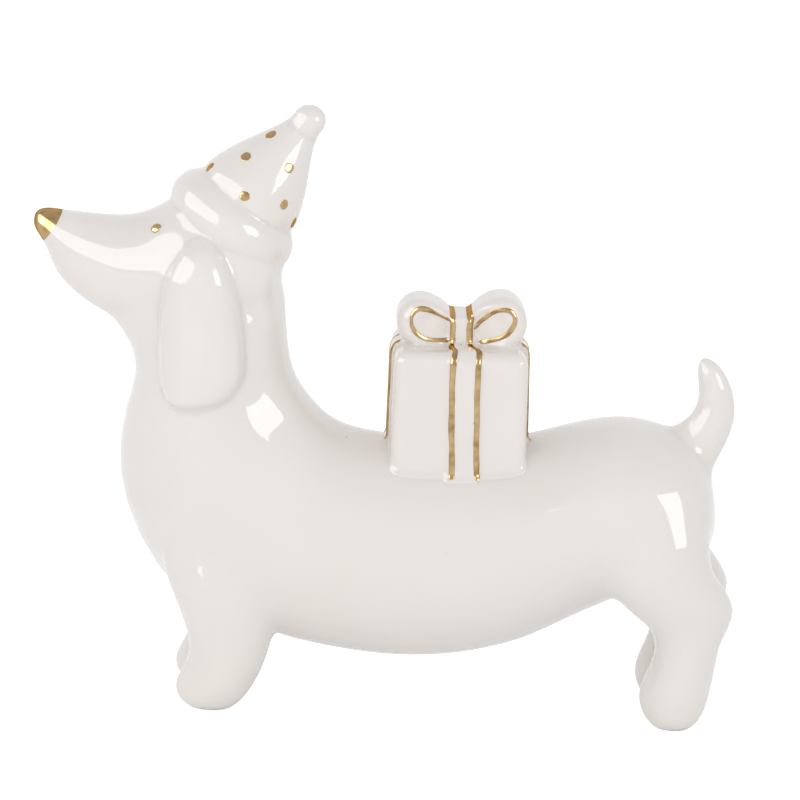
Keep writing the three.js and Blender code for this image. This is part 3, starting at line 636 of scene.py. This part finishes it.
# Share of the radius, and 1 for the face, 0 for the edge and -1 for the back.
DAB_PROFILE = ((0, 1), (0.2, 1), (0.4, 1), (0.6, 1), (0.8, 1), (0.93, 1), (1, 0),
               (0.8, -1), (0.4, -1), (0, -1))
DAB_SEGMENTS = 28
DAB_WOBBLE = 0.06
DAB_EDGE_DETAIL = 1.3


def on_skin(tree, point):
    """The place on a skin that is nearest to a point, and the skin's normal there."""
    place, normal, _, _ = tree.find_nearest(point)
    return place, normal


def bead(tree, start, inward, radius, height, seed):
    """A round dab of gold where a line from start meets a skin, domed, and with a painted edge."""
    shape = turned(DAB_PROFILE, DAB_SEGMENTS)
    middle, out, _, _ = tree.ray_cast(start, inward)
    across = out.orthogonal().normalized()
    along = out.cross(across)
    for vert in shape.verts:
        x, y, level = vert.co / MM
        share = math.hypot(x, y)
        spot = Vector((x * DAB_EDGE_DETAIL + seed * 7.1, y * DAB_EDGE_DETAIL, seed * 3.7))
        reach = radius * (1 + DAB_WOBBLE * 2 * noise.noise(spot) * share)
        place, normal = on_skin(tree, middle + (across * x + along * y) * reach + out * height)
        dome = math.sqrt(max(0, 1 - share * share)) * height
        rise = FILM + dome if level > 0.5 else -FILM_BACK if level < -0.5 else 0
        vert.co = place + normal * rise
    bmesh.ops.recalc_face_normals(shape, faces=shape.faces)
    return shape


for side, hand in (("left", -1), ("right", 1)):
    start = Vector((EYE["x"], hand * EYE_RAY_START, EYE["z"])) * MM
    eye = bead(dog_tree, start, Vector((0, -hand, 0)), EYE["radius"] * MM, EYE["height"] * MM, 11 + hand)
    settled(side + "_eye", eye, gold, "gold_lustre", "eye_gilding_" + side)

# The gold dots: fourteen dabs of lustre put on the hat by hand and burnt in, no two alike. Each has a height
# up the hat's axis and a turn about it in degrees, from the front to the dog's left.
DAB_RADIUS = 1.42
DAB_RADIUS_SPREAD = 0.05
DAB_HEIGHT = 0.07
DAB_RAY_START = 25
DABS = (
    (12.9, 15), (13.6, 77), (13.9, 156), (13.4, 224), (13.1, 296),
    (21.4, 42), (17.4, 123), (20.4, 207), (19.2, 262), (21.0, 325),
    (29.4, 30), (25.8, 107), (27.6, 226), (28.6, 298),
)
for number, (up, turn) in enumerate(DABS, 1):
    turn = math.radians(turn)
    outward = Vector((-math.cos(turn), -math.sin(turn), 0))
    start = HAT_PLACE @ ((outward * DAB_RAY_START + Vector((0, 0, up))) * MM)
    radius = DAB_RADIUS * (1 + DAB_RADIUS_SPREAD * math.sin(number * 2.4)) * MM
    dab = bead(dog_tree, start, HAT_PLACE.to_3x3() @ -outward, radius, DAB_HEIGHT * MM, number)
    settled(f"gold_dot_{number:02d}", dab, gold, "gold_lustre", f"hat_dot_{number:02d}")

# The gift box: a hollow casting with round edges that stands on the back, leans a little to the head and
# runs down over both flanks. Places on it are measured in millimetres from the middle of its foot.
GIFT_FOOT = Vector((19.95, 0, 67)) * MM
GIFT_LEAN = math.radians(-1.1)
GIFT_PLACE = Matrix.Translation(GIFT_FOOT) @ Matrix.Rotation(GIFT_LEAN, 4, "Y")
BOX = {"length": 35.4, "depth": 33, "height": 33.7, "skirt": 6.5, "edge": 2.8}
BOX_DRAFT = math.radians(0.8)
EDGE_SEGMENTS = 6


def rounded_block(length, depth, low, high, edge):
    """A block, in millimetres, with all its edges but the lowest ones rounded, and widening downwards."""
    shape = bmesh.new()
    bmesh.ops.create_cube(shape, size=1)
    bmesh.ops.scale(shape, vec=Vector((length, depth, high - low)) * MM, verts=shape.verts)
    bmesh.ops.translate(shape, vec=Vector((0, 0, (low + high) / 2)) * MM, verts=shape.verts)
    foot = low * MM
    round_edges = [e for e in shape.edges if any(v.co.z > foot + 0.1 * MM for v in e.verts)]
    bmesh.ops.bevel(shape, geom=round_edges, offset=edge * MM, segments=EDGE_SEGMENTS, profile=0.5,
                    affect="EDGES", material=-1, offset_type="OFFSET", clamp_overlap=True)
    for vert in shape.verts:
        spread = (high * MM - vert.co.z) * math.tan(BOX_DRAFT)
        vert.co.x += math.copysign(spread, vert.co.x)
        vert.co.y += math.copysign(spread, vert.co.y)
    return shape


gift_clay = bmesh.new()
box_block = rounded_block(BOX["length"], BOX["depth"], -BOX["skirt"], BOX["height"], BOX["edge"])
add_shape(gift_clay, box_block, GIFT_PLACE)

# The ribbon: a raised band down each of the four sides, of the same clay and cast with the box, that runs
# over the top edge and on under the bow. The bands on the flanks lie a little toward the tail.
BAND = {"width": 8.2, "rise": 0.8, "flank_shift": 1.1}


def band(run, shift):
    """A band round the box: the box's own rounded block grown by the band's rise, and cut to its width."""
    shape = rounded_block(BOX["length"] + 2 * BAND["rise"], BOX["depth"] + 2 * BAND["rise"], -BOX["skirt"],
                          BOX["height"] + BAND["rise"], BOX["edge"] + BAND["rise"])
    for hand in (-1, 1):
        edge_out = Vector((hand, 0, 0)) if run == "flanks" else Vector((0, hand, 0))
        edge_at = edge_out * BAND["width"] / 2 + Vector((shift, 0, 0))
        cut = bmesh.ops.bisect_plane(shape, geom=shape.verts[:] + shape.edges[:] + shape.faces[:],
                                     plane_co=edge_at * MM, plane_no=edge_out, clear_outer=True)
        rim = [item for item in cut["geom_cut"] if isinstance(item, bmesh.types.BMEdge)]
        bmesh.ops.holes_fill(shape, edges=rim, sides=0)
    return shape


add_shape(gift_clay, band("flanks", BAND["flank_shift"]), GIFT_PLACE)
add_shape(gift_clay, band("ends", 0), GIFT_PLACE)

# The bow: a knot between two fat loops, of the same clay and cast with the box. A loop is a leaf lying on
# its side, narrow at the knot, with round rims and dished faces.
KNOT = {"length": 6.6, "depth": 14, "low": 33, "high": 41.9, "edge": 1.8}
LOOP_START = Vector((0.8, 0, 37.3)) * MM
# How much lower and how much thinner a loop gets toward the knot, and by how many times its inset a ring is
# drawn in at the round end.
LOOP_TAPER = 0.2
LOOP_THINNING = 0.3
LOOP_END_ROUNDNESS = 2.3
LOOP_SEGMENTS = 44
LOOPS = {
    "head_side": {"hand": -1, "length": 16.8, "height": 12.5, "tilt": 13.5},
    "tail_side": {"hand": 1, "length": 17.1, "height": 14.2, "tilt": 15},
}
# How far a ring of the loop's surface lies in from its outline, and how far out from its middle plane.
LOOP_RINGS = ((0, 0), (0, 4.2), (0.12, 5.6), (0.45, 6.9), (0.9, 7.75), (1.4, 8.2), (1.9, 8.05), (2.5, 7.5),
              (3.2, 6.95), (4.2, 6.7))
add_shape(gift_clay, rounded_block(**KNOT), GIFT_PLACE)


def loop_place(form):
    """Where a loop starts at the knot, turned to its side and tilted up."""
    turned_to_side = Matrix.Rotation(math.pi if form["hand"] < 0 else 0, 4, "Z")
    tilted = Matrix.Rotation(math.radians(-form["tilt"]), 4, "Y")
    return GIFT_PLACE @ turned_to_side @ Matrix.Translation(LOOP_START) @ tilted


def leaf(form, inset, out, turn):
    """A point of a loop's outline, drawn in by an inset, and more at its round end, in its own frame."""
    nearness = (1 + math.cos(turn)) / 2
    x = inset / 2 + (form["length"] - (0.5 + LOOP_END_ROUNDNESS) * inset) * (1 - nearness)
    half_height = (form["height"] / 2 - inset) * (1 - LOOP_TAPER * math.cos(turn))
    return Vector((x, out * (1 - LOOP_THINNING * nearness * nearness), half_height * math.sin(turn))) * MM


def bow_loop(form):
    """A loop of rings from the dish of one face over the rim to the dish of the other."""
    shape = bmesh.new()
    layers = [(inset, -out) for inset, out in reversed(LOOP_RINGS)] + list(LOOP_RINGS[1:])
    bmesh.ops.create_grid(shape, x_segments=LOOP_SEGMENTS, y_segments=len(layers) - 1, size=1)
    for vert in shape.verts:
        layer = layers[round((vert.co.y + 1) / 2 * (len(layers) - 1))]
        vert.co = leaf(form, *layer, math.pi * (vert.co.x + 1))
    bmesh.ops.remove_doubles(shape, verts=shape.verts, dist=WELD)
    bmesh.ops.holes_fill(shape, edges=[edge for edge in shape.edges if edge.is_boundary], sides=0)
    bmesh.ops.recalc_face_normals(shape, faces=shape.faces)
    return shape


for form in LOOPS.values():
    add_shape(gift_clay, bow_loop(form), loop_place(form))

# The glaze on the gift: the same clear glass in a finer skin. It leaves the bands and the bow with soft
# edges, and pools round the foot of the box, where it joins the box to the back.
GLAZE_POOL = 1.3 * MM
POOL_LIMIT = 1.2 * GLAZE_POOL
GIFT_GRAIN = 0.42 * MM
GIFT_PASSES = 18
GIFT_EVENING = 0.3
GIFT_NODES = ("gift_box", "ribbon_left", "ribbon_right", "ribbon_head_side", "ribbon_tail_side", "bow_knot",
              "bow_loop_head_side", "bow_loop_tail_side")
GIFT_GIVE = dict.fromkeys(GIFT_NODES, GIFT_EVENING)
gift_skin = glazed(gift_clay, GIFT_GRAIN, GIFT_PASSES, GIFT_GIVE)
normal = gift_skin.verts.layers.float_vector["glaze_normal"]
for vert in gift_skin.verts:
    foot, out, _, away = dog_tree.find_nearest(vert.co)
    height = math.copysign(away, (vert.co - foot).dot(out))
    pool = min(max(0, GLAZE_POOL - height), POOL_LIMIT)
    vert.co += vert.normal * pool * pool / (2 * GLAZE_POOL)
gift_skin.normal_update()
for vert in gift_skin.verts:
    vert[normal] = vert.normal
for node in GIFT_NODES:
    skin_piece("glazed_" + node, gift_skin, GIFT_GIVE, porcelain, "porcelain", node)
gift_tree = BVHTree.FromBMesh(gift_skin)
gift_skin.free()

# The gold lines: lustre painted with a liner brush along both edges of each band, over the knot and round
# the faces of the loops, and burnt in. They wander and swell a little, as a hand does.
LINE = {"width": 1.58, "height": 0.12, "step": 0.4, "easing": 5, "reach": 1}
# Pieces of the curve between two given points, and the fewest rows of a line.
CURVE_STEPS = 12
FEWEST_ROWS = 4
# How often a hand wavers along a millimetre, how many rows the brush takes to spread at the ends, and how
# blunt it starts.
WAVER = 0.1
END_ROWS = 2.2
END_BLUNTNESS = 0.08
# Share of the half width, and 1 for the face, 0 for the edges and -1 for the back.
LINE_SECTION = ((-1, 0), (-0.85, 1), (-0.55, 1), (-0.2, 1), (0.2, 1), (0.55, 1), (0.85, 1), (1, 0),
                (0.6, -1), (-0.6, -1), (-1, 0))


def smooth_path(points):
    """Points at even steps on a smooth line through the ones given."""
    fine = []
    for i in range(len(points) - 1):
        a, b, c, d = points[max(i - 1, 0)], points[i], points[i + 1], points[min(i + 2, len(points) - 1)]
        for k in range(CURVE_STEPS):
            t = k / CURVE_STEPS
            fine.append(0.5 * ((2 * b) + (c - a) * t + (2 * a - 5 * b + 4 * c - d) * t * t
                               + (3 * b - a - 3 * c + d) * t * t * t))
    fine.append(points[-1])
    steps = [0]
    for p, q in zip(fine, fine[1:]):
        steps.append(steps[-1] + (q - p).length)
    rows = max(FEWEST_ROWS, round(steps[-1] / (LINE["step"] * MM)))
    path = []
    k = 0
    for row in range(rows + 1):
        at = steps[-1] * row / rows
        while k < len(steps) - 2 and steps[k + 1] < at:
            k += 1
        share = (at - steps[k]) / max(steps[k + 1] - steps[k], 1e-9)
        path.append(fine[k].lerp(fine[k + 1], share))
    return path


def painted_line(tree, points, width, seed, wander=0.12, swell=0.12, inward=None):
    """A line of gold that lies on a skin along the points given, in metres, and is thicker in its middle.

    The points go to the nearest place on the skin, or straight inward where a direction is given."""
    path = smooth_path(points)
    if inward is None:
        laid = [on_skin(tree, point) for point in path]
    else:
        laid = [tree.ray_cast(point, inward)[:2] for point in path]
    last = len(path) - 1
    for _ in range(LINE["easing"]):
        eased = []
        for row, (middle, normal) in enumerate(laid):
            before, after = laid[max(row - 1, 0)], laid[min(row + 1, last)]
            eased.append(((before[0] + middle * 2 + after[0]) / 4,
                          (before[1] + normal * 2 + after[1]).normalized()))
        eased[0], eased[-1] = (laid[0][0], eased[0][1]), (laid[-1][0], eased[-1][1])
        laid = eased
    shape = bmesh.new()
    bmesh.ops.create_grid(shape, x_segments=last, y_segments=len(LINE_SECTION) - 1, size=1)
    order = sorted(shape.verts, key=lambda vert: (round(vert.co.x, 6), vert.co.y))
    for row, (middle, normal) in enumerate(laid):
        along = laid[min(row + 1, last)][0] - laid[max(row - 1, 0)][0]
        side = along.cross(normal).normalized()
        where = Vector((row * LINE["step"] * WAVER, seed * 5.3, 0))
        drift = noise.noise(where) * wander * MM * 2
        half = width / 2 * MM * (1 + swell * 2 * noise.noise(where * 1.9 + Vector((3, 1, 4))))
        end = min(1, math.sqrt(min(row, last - row) / END_ROWS + END_BLUNTNESS))
        for column, (share, level) in enumerate(LINE_SECTION):
            above = middle + side * (drift + share * half * end) + normal * LINE["reach"] * MM
            place = tree.ray_cast(above, -normal, 3 * LINE["reach"] * MM)[0]
            if place is None:
                place, _ = on_skin(tree, above)
            rise = FILM + math.sqrt(1 - share * share) * LINE["height"] * MM * end
            if level <= 0:
                rise = level * FILM_BACK
            order[row * len(LINE_SECTION) + column].co = place + normal * rise
    bmesh.ops.remove_doubles(shape, verts=shape.verts, dist=WELD)
    bmesh.ops.holes_fill(shape, edges=[edge for edge in shape.edges if edge.is_boundary], sides=0)
    bmesh.ops.recalc_face_normals(shape, faces=shape.faces)
    return shape


def on_gift(x, y, z):
    """A place on the gift, in metres."""
    return GIFT_PLACE @ (Vector((x, y, z)) * MM)


# The lines on the flanks: one along each edge of the band. They come out from under the bow, turn over the
# edge of the box and run down to the back.
half_depth = BOX["depth"] / 2 + BAND["rise"]
top = BOX["height"] + BAND["rise"]
for side, hand in (("left", -1), ("right", 1)):
    for number, edge, knot_x in ((1, -1, -2.9), (2, 1, 2.6)):
        x = BAND["flank_shift"] + edge * (BAND["width"] - LINE["width"]) / 2
        route = [(knot_x, 7.4, top + 0.6), (knot_x, 8.8, top), (knot_x + (x - knot_x) * 0.6, 11.6, top),
                 (x + 0.5, 14, top), (x + 0.3, half_depth - 1, top - 1), (x, half_depth, top - 3.6),
                 (x, half_depth, 24), (x + 0.2, half_depth, 14), (x + 0.4, half_depth, 5),
                 (x + 0.5, half_depth, -0.6)]
        points = [on_gift(px, hand * py, pz) for px, py, pz in route]
        line = painted_line(gift_tree, points, LINE["width"], number + 2 * hand)
        settled(f"gold_line_{side}_{number}", line, gold, "gold_lustre", f"ribbon_gold_{side}_{number}")

# The lines on the two ends of the box: one along each edge of the band. They start under the loops and stop
# above the dog's back.
half_length = BOX["length"] / 2 + BAND["rise"]
for side, hand in (("head_side", -1), ("tail_side", 1)):
    for number, edge in ((1, -1), (2, 1)):
        y = edge * hand * (BAND["width"] - LINE["width"]) / 2
        route = [(half_length - 2.6, y, top - 0.4), (half_length - 0.9, y, top - 1.6),
                 (half_length, y, top - 5), (half_length, y, 24), (half_length, y, 15),
                 (half_length, y, 6.4)]
        points = [on_gift(hand * px, py, pz) for px, py, pz in route]
        line = painted_line(gift_tree, points, LINE["width"], number + 7 * hand)
        settled(f"gold_line_{side}_{number}", line, gold, "gold_lustre", f"ribbon_gold_{side}_{number}")

# The lines on the knot: one along each of its edges, painted in one stroke from the foot of its near face
# over the top to the foot of its far face.
KNOT_LINES = {"head_side": {"x": -2.4, "width": 1.5}, "tail_side": {"x": 2.5, "width": 1.8}}
for number, (side, form) in enumerate(KNOT_LINES.items(), 1):
    x, half, high = form["x"], KNOT["depth"] / 2, KNOT["high"]
    route = [(x, -half - 0.7, 34.9), (x, -half, 36), (x, -half, 38), (x, -half + 0.4, high - 1),
             (x, -half + 2, high), (x, 0, high), (x, half - 2, high), (x, half - 0.4, high - 1),
             (x, half, 38), (x, half, 36), (x, half + 0.7, 34.9)]
    points = [on_gift(*point) for point in route]
    line = painted_line(gift_tree, points, form["width"], 20 + number, wander=0.08)
    settled("gold_line_knot_" + side, line, gold, "gold_lustre", "knot_gold_" + side)

# The outlines on the bow: a thinner line on each face of a loop, which follows the rim of the dish from the
# knot out and back to the knot's foot. Places are lengthwise and up.
OUTLINES = {
    "head_side": ((-2.9, 40.6), (-5.9, 42.2), (-7.9, 43.3), (-9.7, 44), (-11.6, 44.1), (-13, 42.7),
                  (-13.4, 40.9), (-12.9, 38.6), (-11.4, 36.8), (-9.4, 35.7), (-7, 35.3), (-2.9, 35.4)),
    "tail_side": ((3.4, 38.3), (4.7, 40.3), (6.3, 41.9), (8.4, 43.5), (10.7, 44.3), (12.7, 44.1), (14, 43),
                  (14.3, 41.4), (13.7, 39.6), (12.1, 37.4), (9.8, 36), (7.1, 35.3), (4.6, 34.9)),
}
OUTLINE_WIDTH = 1.15
OUTLINE_RAY_START = 14
for name, form in LOOPS.items():
    for face, out in (("left", -1), ("right", 1)):
        points = [on_gift(x, OUTLINE_RAY_START * out, z) for x, z in OUTLINES[name]]
        seed = 30 + out + 3 * form["hand"]
        line = painted_line(gift_tree, points, OUTLINE_WIDTH, seed, swell=0.2, inward=Vector((0, -out, 0)))
        settled(f"gold_outline_{name}_{face}", line, gold, "gold_lustre", f"loop_gold_{name}_{face}")
